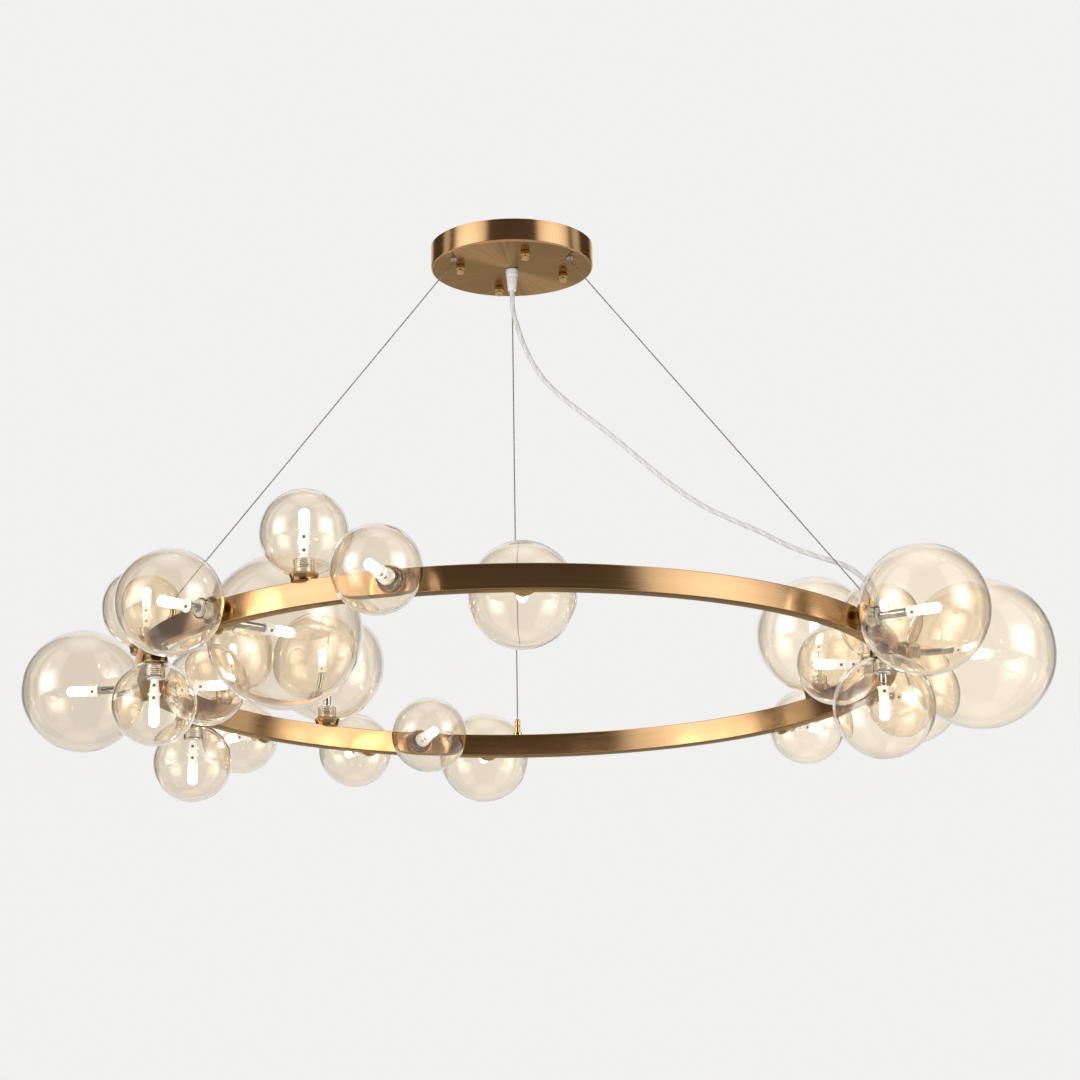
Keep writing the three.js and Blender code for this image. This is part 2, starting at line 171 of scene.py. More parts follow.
class ChandelierSizes(bpy.types.PropertyGroup):
    """Sizes of the pieces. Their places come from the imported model."""

    __annotations__ = settings(LENGTH, {
        "ring_drop": (0.4525, "From the ceiling to the ring's middle"),
        "ring_radius": (0.380, "Outer radius of the ring"),
        "ring_depth": (0.014, "Width of the ring's tube, from inside to outside"),
        "ring_height": (0.024, "Height of the ring's tube"),
        "ring_corner": (0.0011, "Rounding of the tube's edges"),
        "canopy_radius": (0.084, "Outer radius of the canopy"),
        "canopy_height": (0.0245, "Height of the canopy"),
        "canopy_sheet": (0.0015, "Thickness of its metal"),
        "canopy_round": (0.003, "Rounding of its lower edge"),
        "nut_radius": (0.00475, "Radius of the ball-ended nuts"),
        "nut_length": (0.010, "Length of the ball-ended nuts"),
        "nut_neck": (0.0011, "Depth of the groove above the ball"),
        "stud_circle": (0.055, "From the canopy's middle to each stud"),
        "stud_below": (0.0063, "How far the studs reach below the canopy"),
        "stud_radius": (0.00215, "Outer radius of the studs' thread"),
        "stud_pitch": (0.0007, "Rise of that thread in a turn"),
        "wire_radius": (0.00065, "Radius of the steel wires"),
        "wire_lay": (0.009, "Length of one twist of the strands"),
        "wire_circle": (0.069, "From the canopy's middle to each wire's exit"),
        "wire_gap": (0.0008, "From a wire's end to what it goes into"),
        "ferrule_radius": (0.004, "Radius of the wire exits in the canopy"),
        "ferrule_length": (0.003, "How far the wire exits stand out"),
        "gripper_radius": (0.003, "Radius of the wire grippers"),
        "gripper_length": (0.019, "Height of the wire grippers"),
        "gripper_nut_radius": (0.0048, "Radius of their lower nut"),
        "gripper_nut_height": (0.0035, "Height of their lower nut"),
        "cord_radius": (0.0025, "Radius of the cord's jacket"),
        "core_radius": (0.00082, "Radius of each core in the cord"),
        "core_spread": (0.00094, "From the cord's middle to each core's middle"),
        "core_lay": (0.034, "Length of one twist of the two cores"),
        "gland_radius": (0.005, "Radius of the cord gland at its foot"),
        "gland_tip": (0.004, "Radius of the cord gland at its top"),
        "gland_length": (0.015, "Height of the cord gland"),
        "grip_radius": (0.0064, "Radius of the strain relief's collar"),
        "grip_tip": (0.0042, "Radius of the strain relief's end"),
        "grip_collar": (0.008, "Length of its collar"),
        "grip_length": (0.024, "Length of the strain relief"),
        "grip_groove": (0.0006, "Width of the groove under the collar"),
        "grip_shank": (0.005, "Radius of its shank through the canopy"),
        "grip_nut_radius": (0.008, "Over the corners of its lock nut"),
        "grip_nut_height": (0.003, "Thickness of its lock nut"),
        "glass_wall": (0.0015, "Thickness of the balls' glass"),
        "neck_bore": (0.0085, "Inner radius of the balls' necks"),
        "neck_top": (0.0207, "From the ring's face to the neck's end"),
        "cup_base": (0.012, "Radius of a holder cup at its foot"),
        "cup_rim": (0.014, "Radius of a holder cup at its rim"),
        "cup_height": (0.0072, "Height of a holder cup"),
        "cup_wall": (0.001, "Thickness of a holder cup"),
        "cup_floor": (0.002, "Height of a cup's floor inside"),
        "cup_sink": (0.0006, "How deep a cup's foot lies in the ring's curve"),
        "seat_gap": (0.0003, "Between pieces that rest on each other"),
        "sleeve_radius": (0.00775, "Radius over the sleeve's thread"),
        "sleeve_height": (0.022, "From the ring's face to the sleeve's end"),
        "thread_pitch": (0.0018, "Rise of the sleeve's thread in a turn"),
        "thread_depth": (0.0008, "Depth of the sleeve's thread"),
        "stem_radius": (0.004, "Radius of the lamp stems"),
        "shank_length": (0.014, "Tapered ceramic foot where there is no stem"),
        "shank_foot": (0.00365, "Radius of that foot at the bottom"),
        "shank_top": (0.005, "Radius of that foot at the top"),
        "flange_radius": (0.0065, "Radius of the ceramic flange"),
        "flange_height": (0.0015, "Thickness of the ceramic flange"),
        "ceramic_radius": (0.00525, "Radius of the ceramic body"),
        "ceramic_length": (0.0095, "Length of the ceramic body"),
        "capsule_radius": (0.00485, "Radius of a lamp capsule"),
        "capsule_length": (0.022, "Length of a lamp capsule"),
        "capsule_dome": (0.0042, "Length of a capsule's round end"),
        "screw_radius": (0.0016, "Radius of the contact screws' heads"),
    })


class ChandelierFinishes(bpy.types.PropertyGroup):
    """Colours of the finishes, in linear light, and how brightly the lamps glow."""

    __annotations__ = {
        **settings(COLOUR, {
            "brass": ((0.690, 0.435, 0.225), "Brushed brass of the ring and canopy"),
            "gold": ((0.740, 0.490, 0.215), "Polished brass of nuts, cups and grippers"),
            "nickel": ((0.640, 0.625, 0.590), "Sleeves, stems and ferrules"),
            "zinc": ((0.480, 0.485, 0.490), "Bracket inside the canopy"),
            "steel": ((0.400, 0.395, 0.390), "Suspension wires"),
            "glass": ((1.000, 0.942, 0.848), "Champagne glass of the balls"),
            "ceramic": ((0.900, 0.900, 0.895), "Lamp holders"),
            "glow": ((1.000, 0.930, 0.820), "Lit capsules"),
            "jacket": ((0.800, 0.800, 0.785), "Jacket of the cord"),
            "core": ((0.820, 0.815, 0.800), "Cores inside the cord"),
            "grip": ((0.930, 0.925, 0.905), "Strain relief"),
        }),
        **settings(STRENGTH, {"lamp_strength": (4.5, "How brightly the capsules glow")}),
    }


class ChandelierStudio(bpy.types.PropertyGroup):
    """The camera's place and lens, and the plain pale studio."""

    __annotations__ = {
        **settings(LENS, {"lens": (105.94, "Focal length on a 36 mm sensor")}),
        **settings(LENGTH, {
            "camera_back": (3.1110, "From the chandelier's axis to the camera"),
            "camera_drop": (1.1669, "From the ceiling down to the camera"),
            "floor_drop": (8.0, "From the ceiling down to the floor"),
            "floor_size": (120.0, "Side of the floor"),
            "lamp_size": (1.6, "Side of the soft lamp in front"),
        }),
        **settings(ANGLE, {
            "pitch": (math.radians(15.295), "How far the camera looks up"),
            "yaw": (math.radians(0.462), "How far the camera looks to the right"),
            "roll": (math.radians(-0.836), "How far the camera leans"),
        }),
        **settings(COLOUR, {
            "pale": ((0.88, 0.875, 0.865), "What the camera and the glass see behind the object"),
        }),
        **settings(STRENGTH, {
            "floor_lift": (0.40, "How much paler the floor looks than its light makes it"),
            "dim": (0.08, "Light from between the light boxes"),
            "top_light": (1.20, "What the sky of the studio adds"),
        }),
        **settings(POWER, {"lamp_power": (42.0, "Power of the soft lamp in front")}),
    }


# Shapes as arrays of points and faces


class Form:
    """Points as rows of x, y, z, and faces as arrays of three or four point numbers."""

    def __init__(self, points, faces):
        self.points = points
        self.faces = faces

    def placed(self, place):
        """The shape turned and moved by a matrix of four rows."""
        return Form(self.points @ place[:3, :3].T + place[:3, 3], self.faces)


def joined(forms):
    """Several shapes as one, each one's point numbers moved past those before it."""
    forms = list(forms)
    firsts = np.cumsum([0] + [len(form.points) for form in forms])
    faces = [face + first for form, first in zip(forms, firsts) for face in form.faces]
    return Form(np.vstack([form.points for form in forms]), faces)


def woven(numbers, loop=False):
    """Faces between neighbours of a grid of point numbers that closes sideways, and from its last row
    to its first with loop. A row that holds one number only is a pole, with triangles around it."""
    low = numbers if loop else numbers[:-1]
    high = np.roll(numbers, -1, axis=0) if loop else numbers[1:]
    quads = np.stack([low, np.roll(low, -1, 1), np.roll(high, -1, 1), high], axis=-1).reshape(-1, 4)
    foot = quads[:, 0] == quads[:, 1]
    head = quads[:, 2] == quads[:, 3]
    faces = [quads[~(foot | head)], quads[foot][:, 1:], quads[head][:, :3]]
    return [face for face in faces if len(face)]


def unit(vectors):
    """Each vector made one long."""
    return vectors / np.linalg.norm(vectors, axis=-1, keepdims=True)


def turns(count):
    """Evenly spaced angles, once around."""
    return np.linspace(0, 2 * math.pi, count, endpoint=False)


def circle(radius, turn):
    """Points (r cos a, r sin a)."""
    return np.stack([radius * np.cos(turn), radius * np.sin(turn)], axis=-1)


def arc(radius, middle, low, high, steps, tall=None):
    """Part of a circle about (0, middle), or of an ellipse as tall as t: (r sin a, middle + t cos a),
    with a from low to high."""
    turn = np.linspace(low, high, steps + 1)
    tall = radius if tall is None else tall
    return np.stack([radius * np.sin(turn), middle + tall * np.cos(turn)], axis=-1)


def lathe(profile, sides, ripple=None, loop=False):
    """A profile of (radius, height) points turned about the local Z axis: the point at angle a is
    (r cos a, r sin a, h), with r changed by ripple(a, h) if given. Where r is zero the row is one point.
    The outside lies to the right of the profile's direction when it goes up."""
    profile = np.asarray(profile, float)
    radius, height = (np.repeat(column[:, None], sides, axis=1) for column in profile.T)
    turn = turns(sides)[None, :]
    if ripple is not None:
        radius = np.where(radius > 0, radius + ripple(turn, height), 0)
    poles = profile[:, :1] <= 0
    own = np.where(poles, 1, sides)
    column = np.arange(sides)[None, :]
    numbers = np.cumsum(own)[:, None] - own + np.where(poles, 0, column)
    points = np.concatenate([circle(radius, turn), height[..., None]], axis=-1)
    return Form(points[~poles | (column == 0)], woven(numbers, loop))


def tube(path, across, section):
    """A section carried along a path, with closed ends: the point is path + u * across + v * upward,
    where upward is the path's direction crossed with across. section holds (u, v) for each side, or for
    each path point and each side."""
    ahead = unit(np.gradient(path, axis=0))
    upward = unit(np.cross(ahead, across))
    across = np.cross(upward, ahead)
    rings = path[:, None] + section[..., :1] * across[:, None] + section[..., 1:] * upward[:, None]
    rows, sides = rings.shape[:2]
    end = np.full((1, sides), rows * sides)
    numbers = np.vstack([end, np.arange(rows * sides).reshape(rows, sides), end + 1])
    return Form(np.vstack([rings.reshape(-1, 3), path[:1], path[-1:]]), woven(numbers))


def rounded(corners, cut, steps=4, loop=False):
    """A line with its corners rounded. Near a corner P it runs as (1-s)^2 A + 2s(1-s) P + s^2 B, with s
    from 0 to 1, where A and B lie the cut's length from P on its two sides, or less on a short side."""
    points = np.asarray(corners, float)
    cuts = np.broadcast_to(np.asarray(cut, float), len(points)).copy()
    if not loop:
        cuts[[0, -1]] = 0
    sides = [np.roll(points, shift, axis=0) - points for shift in (1, -1)]
    lengths = [np.maximum(np.linalg.norm(side, axis=1), NO_LENGTH) for side in sides]
    cuts = np.minimum(cuts, MOST_OF_A_SIDE * np.minimum(*lengths))
    start, end = (
        (points + side * (cuts / length)[:, None])[:, None] for side, length in zip(sides, lengths)
    )
    s = np.linspace(0, 1, steps + 1)[None, :, None]
    curve = (1 - s) ** 2 * start + 2 * s * (1 - s) * points[:, None] + s ** 2 * end
    curve = curve.reshape(-1, points.shape[1])
    apart = np.linalg.norm(curve - np.roll(curve, 1, axis=0), axis=1) > SAME_POINT
    apart[0] = True
    return curve[apart]


def smooth_route(points, count):
    """Points evenly spaced along a Catmull-Rom curve through the given ones, and its length."""
    points = np.asarray(points, float)
    padded = np.vstack([2 * points[0] - points[1], points, 2 * points[-1] - points[-2]])
    a, b, c, d = (row[:, None] for row in (padded[:-3], padded[1:-2], padded[2:-1], padded[3:]))
    t = np.linspace(0, 1, CURVE_STEPS, endpoint=False)[None, :, None]
    fine = 0.5 * (
        2 * b + (c - a) * t + (2 * a - 5 * b + 4 * c - d) * t ** 2 + (3 * b - a - 3 * c + d) * t ** 3
    )
    fine = np.vstack([fine.reshape(-1, points.shape[1]), points[-1:]])
    walked = np.concatenate([[0], np.cumsum(np.linalg.norm(np.diff(fine, axis=0), axis=1))])
    even = np.linspace(0, walked[-1], count)
    return np.stack([np.interp(even, walked, column) for column in fine.T], axis=-1), walked[-1]


def within(height, low, rise, high, fall):
    """One between two heights, zero outside them, with a slope inside each."""
    return np.clip((height - low) / rise, 0, 1) * np.clip((high - height) / fall, 0, 1)


def flute(count, turn):
    """Narrow waves around, from 0 to 1: ((1 + cos n a) / 2)^2."""
    return (0.5 + 0.5 * np.cos(count * turn)) ** 2


def helix(turn, height, pitch):
    """How deep a thread is cut, from 0 to 1: (1 - cos(2 pi h / p - a)) / 2."""
    return 0.5 - 0.5 * np.cos(2 * math.pi * height / pitch - turn)


def around(turn, reach, height):
    """A point at a turn in degrees about the chandelier's axis, a reach from it, and a height."""
    turn = math.radians(turn)
    return np.array([reach * math.cos(turn), reach * math.sin(turn), height])


def standing(point, way=1.0):
    """The place of a piece that stands on a point, or hangs from it where the way is -1."""
    place = np.diag([1.0, way, way, 1.0])
    place[:3, 3] = point
    return place


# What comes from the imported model


def joint(name):
    """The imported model's joint of that name."""
    return next(row for row in frame["joints"] if row["name"] == name)


def shorten_with_ring(part, top, foot):
    """Gives the piece a mesh of its own. The share of its length between its two heights that the
    ring's highest setting would leave is worked out, but nothing shortens the piece.
    """
    keep = 1 - joint("ring_height")["range_m"][1] / (top - foot)
    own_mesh(part)


class Mounting:
    """Where one ball and its lamp stand on the ring, and how large they are. Their front faces this way
    as far as their axis lets it."""

    front = np.array([0.0, -0.94, -0.34])

    def __init__(self, number):
        thread = joint(f"globe_{number}_thread")
        low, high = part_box(f"globe_{number}")
        across = max(high - low)
        self.number = number
        self.diameter = min(STEM_LENGTHS, key=lambda diameter: abs(diameter - across))
        self.stem = STEM_LENGTHS[self.diameter]
        axis = np.array(thread["axis"], float)
        forward = unit(self.front - axis * (self.front @ axis))
        self.place = np.eye(4)
        self.place[:3] = np.stack([forward, np.cross(axis, forward), axis, thread["pos_m"]], axis=1)


MOUNTINGS = [Mounting(number) for number in LAMP_NUMBERS]


def on_each(form):
    """The shape once on every mounting."""
    return joined(form.placed(mounting.place) for mounting in MOUNTINGS)


# Shader nodes


class Wire:
    """An output socket of a shader node. Sums written with it add Math nodes."""

    def __init__(self, nodes, socket):
        self.nodes = nodes
        self.socket = socket

    def math(self, operation, *other):
        """One Math node of this value and, where there is one, another."""
        return self.nodes.add("ShaderNodeMath", dict(enumerate((self, *other))), {"operation": operation})

    def __add__(self, other):
        return self.math("ADD", other)

    def __sub__(self, other):
        return self.math("SUBTRACT", other)

    def __mul__(self, other):
        return self.math("MULTIPLY", other)

    def __truediv__(self, other):
        return self.math("DIVIDE", other)

    def __pow__(self, other):
        return self.math("POWER", other)

    __radd__ = __add__
    __rmul__ = __mul__


class Nodes:
    """The node tree of a new material or world."""

    def __init__(self, owner):
        owner.use_nodes = True
        self.owner = owner
        self.tree = owner.node_tree
        self.tree.nodes.clear()
        self.spot, self.ray = self.outputs("ShaderNodeTexCoord", ("Object", "Generated"))

    def add(self, kind, values=None, settings=None, output=0):
        """Adds a node, sets its settings and its sockets' values or links, and gives the output that is
        asked for, if it has any."""
        node = self.tree.nodes.new(kind)
        for name, value in (settings or {}).items():
            setattr(node, name, value)
        for name, value in (values or {}).items():
            if isinstance(value, Wire):
                self.tree.links.new(value.socket, node.inputs[name])
            else:
                node.inputs[name].default_value = value
        return Wire(self, node.outputs[output]) if len(node.outputs) else None

    def outputs(self, kind, names, values=None):
        """The outputs of those names of one new node."""
        sockets = self.add(kind, values).socket.node.outputs
        return [Wire(self, sockets[name]) for name in names]

    def split(self, vector):
        """A vector's x, y and z."""
        return self.outputs("ShaderNodeSeparateXYZ", "XYZ", {"Vector": vector})

    def vector(self, x, y, z):
        """Three values as one vector."""
        return self.add("ShaderNodeCombineXYZ", {"X": x, "Y": y, "Z": z})

    def mark(self, name):
        """The attribute of that name, which marked() gave to the mesh."""
        return self.add("ShaderNodeAttribute", settings={"attribute_name": name}, output="Fac")

    def noise(self, scale, detail=3.0, roughness=0.5, where=None):
        """Soft noise from 0 to 1, over the object's own coordinates if no others are given."""
        where = where or self.spot
        values = {"Vector": where, "Scale": scale, "Detail": detail, "Roughness": roughness}
        return self.add("ShaderNodeTexNoise", values)

    def blend(self, factor, first, second):
        """A colour between two, by a factor from 0 to 1."""
        first, second = (c if isinstance(c, Wire) else (*c, 1.0) for c in (first, second))
        values = {0: factor, 6: first, 7: second}
        return self.add("ShaderNodeMix", values, {"data_type": "RGBA"}, output=2)

    def between(self, value, low, high, to_low=0.0, to_high=1.0):
        """A value moved smoothly from one range to another, and held at its ends."""
        values = {"Value": value, "From Min": low, "From Max": high, "To Min": to_low, "To Max": to_high}
        return self.add("ShaderNodeMapRange", values, {"interpolation_type": "SMOOTHSTEP"})

    def mottled(self, grain, tone, dark, pale, low=0.3, high=0.7):
        """A tone between its dark and its pale shade, as the grain goes from low to high."""
        return self.blend(self.between(grain, low, high), shaded(tone, dark), shaded(tone, pale))

    def bump(self, height, strength, depth):
        """A normal tilted by a height."""
        values = {"Height": height, "Strength": strength, "Distance": depth}
        return self.add("ShaderNodeBump", values)

    def surface(self, **values):
        """The Principled surface. Socket names have underscores here where they have spaces. Gives
        the material."""
        sockets = {name.replace("_", " "): value for name, value in values.items()}
        shader = self.add("ShaderNodeBsdfPrincipled", sockets)
        self.add("ShaderNodeOutputMaterial", {"Surface": shader})
        return self.owner


def material(name):
    """The nodes of a new material."""
    return Nodes(bpy.data.materials.new(name))


def shaded(tone, factor):
    """A colour made darker or lighter by a factor."""
    return tuple(min(1.0, channel * factor) for channel in tone)


# Finishes


def brushed_brass(name, tone, painted_shade_reach=0.0, painted_shade_height=None):
    """Brass brushed along the ring: hair lines lie at one height plus reach from the axis, and run
    around it, with faint lighter and darker bands. A face turned on a lathe, out to the given reach,
    has painted shade, with painted highlight fans in opposite pairs: they follow cos 2a and sin 2a of
    the turn a. A face at or below the given height has painted shade too."""
    nodes = material(name)
    x, y, z = nodes.split(nodes.spot)
    reach = (x * x + y * y) ** 0.5
    level = z + reach
    lines = nodes.noise(1.0, 4.0, 0.65, nodes.vector(x * 6.0, y * 6.0, level * 900.0))
    bands = nodes.noise(1.0, 2.0, where=nodes.vector(x * 3.0, y * 3.0, level * 120.0))
    cloud = nodes.noise(9.0, 2.0)
    brass = nodes.mottled(lines * 0.55 + bands * 0.3 + cloud * 0.15, tone, 0.90, 1.07)
    # Painted shade on the turned face, with painted highlight fans in opposite pairs
    if painted_shade_reach:
        square = reach * reach
        even, odd = (x * x - y * y) / square, 2.0 * x * y / square
        painted_fans = nodes.noise(1.0, 4.0, 0.6, nodes.vector(even * 7.0, odd * 7.0, 0.0))
        wide = nodes.between(even * PAINTED_FAN_EVEN + odd * PAINTED_FAN_ODD, 0.45, 1.0)
        turned = nodes.mottled(painted_fans * 0.75 + wide * 0.35, tone, 0.45, 0.85, 0.32, 0.85)
        brass = nodes.blend(nodes.between(reach, painted_shade_reach - 0.001, painted_shade_reach), turned, brass)
    # Painted shade on faces at or below the given height
    if painted_shade_height is not None:
        low = nodes.between(z, painted_shade_height, painted_shade_height + 0.0008)
        brass = nodes.blend(low, shaded(tone, 0.2), brass)
    return nodes.surface(
        Base_Color=brass,
        Metallic=1.0,
        Roughness=nodes.between(lines * 0.7 + cloud * 0.3, 0.25, 0.75, 0.15, 0.24),
        Specular_Tint=(1.0, 0.84, 0.62, 1.0),
        Anisotropic=0.8,
        Anisotropic_Rotation=0.25,
        Normal=nodes.bump(lines, 0.10, 0.0002),
    )


def polished_metal(name, tone, low, high, deep=1.0):
    """Turned and polished metal with faint tool marks and smudges. Where the groove attribute is 1 it
    is darkened to the deep factor of its tone, as painted shade."""
    nodes = material(name)
    smudge, marks = nodes.noise(140.0), nodes.noise(2080.0, 2.0)
    metal = nodes.mottled(smudge, tone, 0.92, 1.04)
    # Painted shade where the groove attribute marks it
    if deep < 1.0:
        metal = nodes.blend(nodes.mark("groove"), metal, shaded(tone, deep))
    return nodes.surface(
        Base_Color=metal,
        Metallic=1.0,
        Roughness=nodes.between(smudge * 0.6 + marks * 0.4, 0.3, 0.7, low, high),
        Normal=nodes.bump(marks, 0.05, 0.0001),
    )


def threaded_nickel(tone):
    """Pale satin nickel with painted shade in the grooves of its thread, which the groove attribute marks.
    """
    nodes = material("threaded_nickel")
    smudge = nodes.noise(140.0)
    # Painted shade in the thread's grooves
    deep = nodes.between(nodes.mark("groove"), 0.35, 0.9)
    return nodes.surface(
        Base_Color=nodes.blend(deep, nodes.mottled(smudge, tone, 1.34, 1.46), shaded(tone, 0.22)),
        Metallic=0.5,
        Roughness=nodes.between(smudge, 0.3, 0.7, 0.24, 0.34),
    )


def galvanised(tone):
    """Zinc plate with grey spangles of crystals."""
    nodes = material("galvanised_plate")
    spangle = nodes.add(
        "ShaderNodeTexVoronoi", {"Vector": nodes.spot, "Scale": 260.0}, {"feature": "F1"}, "Color",
    )
    grey = nodes.add("ShaderNodeRGBToBW", {"Color": spangle})
    return nodes.surface(
        Base_Color=nodes.blend(grey, shaded(tone, 0.8), shaded(tone, 1.12)),
        Metallic=1.0,
        Roughness=nodes.between(grey, 0.0, 1.0, 0.32, 0.5),
        Normal=nodes.bump(grey, 0.1, 0.0001),
    )


def stranded_steel(tone):
    """Drawn steel strands, darker where they wear."""
    nodes = material("stranded_steel")
    wear = nodes.noise(220.0)
    return nodes.surface(
        Base_Color=nodes.mottled(wear, tone, 0.8, 1.15, 0.35, 0.65),
        Metallic=1.0,
        Roughness=nodes.between(wear, 0.3, 0.7, 0.28, 0.42),
    )


def glazed_ceramic(tone):
    """White ceramic with fine pores and faint warm clouds, and a faint painted glow for its lamp's light.
    """
    nodes = material("white_ceramic")
    cloud, pores = nodes.noise(160.0), nodes.noise(2600.0, 2.0)
    return nodes.surface(
        Base_Color=nodes.mottled(cloud, tone, 0.94, 1.03),
        Roughness=nodes.between(cloud * 0.5 + pores * 0.5, 0.3, 0.7, 0.30, 0.46),
        # Painted glow: a faint emission standing in for the lamp's light on the ceramic
        Emission_Color=(0.97, 0.98, 1.0, 1.0),
        Emission_Strength=0.26,
        Normal=nodes.bump(pores, 0.12, 0.0001),
    )


def blown_glass(tone):
    """Thin champagne glass, slightly wavy as blown glass is."""
    nodes = material("champagne_glass")
    wave, ripple = nodes.noise(11.0, 1.0), nodes.noise(34.0, 1.0)
    return nodes.surface(
        Base_Color=(*tone, 1.0),
        Roughness=0.0,
        IOR=1.52,
        Specular_IOR_Level=1.0,
        Transmission_Weight=1.0,
        Normal=nodes.bump(wave * 0.8 + ripple * 0.2, 0.18, 0.004),
    )


def lit_capsule(tone, strength):
    """A lit capsule with faint whiter patches."""
    nodes = material("lit_capsule")
    patch = nodes.between(nodes.noise(300.0, 2.0), 0.3, 0.7)
    made = nodes.surface(
        Base_Color=(1.0, 1.0, 1.0, 1.0),
        Roughness=0.15,
        Emission_Color=nodes.blend(patch, tone, (1.0, 0.97, 0.92)),
        Emission_Strength=strength,
    )
    made.cycles.emission_sampling = "NONE"
    return made


def milky_jacket(tone):
    """Flexible plastic, so milky that its cores show only as the lighter twisted lines that the core
    attribute marks."""
    nodes = material("clear_jacket")
    haze = nodes.noise(36.0, 2.0)
    lines = nodes.between(nodes.mark("core"), -0.2, 0.9)
    return nodes.surface(
        Base_Color=nodes.blend(lines, nodes.mottled(haze, tone, 0.92, 0.96), shaded(tone, 1.08)),
        Roughness=nodes.between(haze, 0.3, 0.7, 0.26, 0.34),
        IOR=1.40,
    )


def moulded_plastic(name, tone):
    """Moulded plastic with a fine satin grain."""
    nodes = material(name)
    grain, cloud = nodes.noise(1500.0, 2.0), nodes.noise(90.0, 2.0)
    return nodes.surface(
        Base_Color=nodes.mottled(cloud, tone, 0.95, 1.03),
        Roughness=nodes.between(grain * 0.5 + cloud * 0.5, 0.3, 0.7, 0.26, 0.40),
        IOR=1.50,
        Normal=nodes.bump(grain, 0.08, 0.0001),
    )


# Pieces


def linked(name, data):
    """A new object of that data in the scene."""
    made = bpy.data.objects.new(name, data)
    bpy.context.scene.collection.objects.link(made)
    return made


def piece(name, form, finish, body, slot, *stands_for):
    """A mesh of the shape with its finish, at the origin, riding on its body, in place of the solids
    that it stands for. Only edges with a wide angle stay sharp."""
    mesh = bpy.data.meshes.new(name)
    counts = np.concatenate([np.full(len(face), face.shape[1]) for face in form.faces])
    corners = np.concatenate([face.ravel() for face in form.faces])
    mesh.vertices.add(len(form.points))
    mesh.vertices.foreach_set("co", form.points.astype(np.float32).ravel())
    mesh.loops.add(len(corners))
    mesh.loops.foreach_set("vertex_index", corners.astype(np.int32))
    mesh.polygons.add(len(counts))
    mesh.polygons.foreach_set("loop_start", (np.cumsum(counts) - counts).astype(np.int32))
    mesh.update(calc_edges=True)
    if mesh.validate():
        raise RuntimeError(f"{name} has faces that don't fit together")
    mesh.shade_smooth()
    mesh.set_sharp_from_angle(angle=SHARP_EDGE)
    mesh.materials.append(finish)
    made = linked(name, mesh)
    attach(made, body)
    if stands_for:
        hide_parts(*stands_for)
    return made


def marked(made, name, values):
    """Gives the piece's mesh an attribute with one value for each point."""
    attribute = made.data.attributes.new(name, "FLOAT", "POINT")
    attribute.data.foreach_set("value", values.astype(np.float32).ravel())


class Step:
    """What every operator of this object shares: the sizes and finishes, and undo."""

    bl_options = {"REGISTER", "UNDO"}

    def execute(self, context):
        scene = context.scene
        self.make(scene.chandelier_sizes, scene.chandelier_finishes, scene.chandelier_studio)
        return {"FINISHED"}


class CHANDELIER_OT_camera(Step, bpy.types.Operator):
    """Adds the camera: it looks along (sin yaw cos pitch, cos yaw cos pitch, sin pitch), and leans by
    the roll"""

    bl_idname = "chandelier.camera"
    bl_label = "Camera"

    def make(self, sizes, finish, studio):
        ahead = Vector((
            math.sin(studio.yaw) * math.cos(studio.pitch),
            math.cos(studio.yaw) * math.cos(studio.pitch),
            math.sin(studio.pitch),
        ))
        level = Vector((math.cos(studio.yaw), -math.sin(studio.yaw), 0.0))
        above = level.cross(ahead)
        right = level * math.cos(studio.roll) + above * math.sin(studio.roll)
        up = above * math.cos(studio.roll) - level * math.sin(studio.roll)
        lens = bpy.data.cameras.new("camera")
        lens.lens = studio.lens
        lens.sensor_width = SENSOR
        lens.clip_start, lens.clip_end = CLIP
        camera = linked("camera", lens)
        stand = Matrix.Translation((0.0, -studio.camera_back, -studio.camera_drop))
        camera.matrix_world = stand @ Matrix((right, up, -ahead)).transposed().to_4x4()
        bpy.context.scene.camera = camera


class CHANDELIER_OT_cord(Step, bpy.types.Operator):
    """Adds the cord with its two twisted cores"""

    bl_idname = "chandelier.cord"
    bl_label = "Power Cord"

    def make(self, sizes, finish, studio):
        outward = around(CORD_TURN, 1.0, 0.0)
        across = np.array([-outward[1], outward[0], 0.0])
        flat, length = smooth_route(CORD_ROUTE, CORD_ROWS)
        path = flat[:, :1] * outward + flat[:, 1:] * np.array([0.0, 0.0, 1.0])
        jacket = piece(
            "cord_jacket", tube(path, across, circle(sizes.cord_radius, turns(CORD_SIDES))),
            milky_jacket(finish.jacket), "ceiling_mount", "clear_plastic", "power_cord",
        )
        jacket.visible_shadow = False
        twist = 2 * math.pi * np.linspace(0, length, CORD_ROWS) / sizes.core_lay
        marked(jacket, "core", np.append(np.cos(2 * (turns(CORD_SIDES) - twist[:, None])), (0, 0)))
        ring = circle(sizes.core_radius, turns(CORE_SIDES))
        cores = joined(
            tube(path, across, circle(sizes.core_spread, twist + start)[:, None] + ring)
            for start in (0.0, math.pi)
        )
        sheath = moulded_plastic("core_sheath", finish.core)
        core = piece("cord_cores", cores, sheath, "ceiling_mount", "clear_plastic")
        for part in (jacket, core):
            shorten_with_ring(part, CORD_ROUTE[0][1], CORD_ROUTE[-1][1])


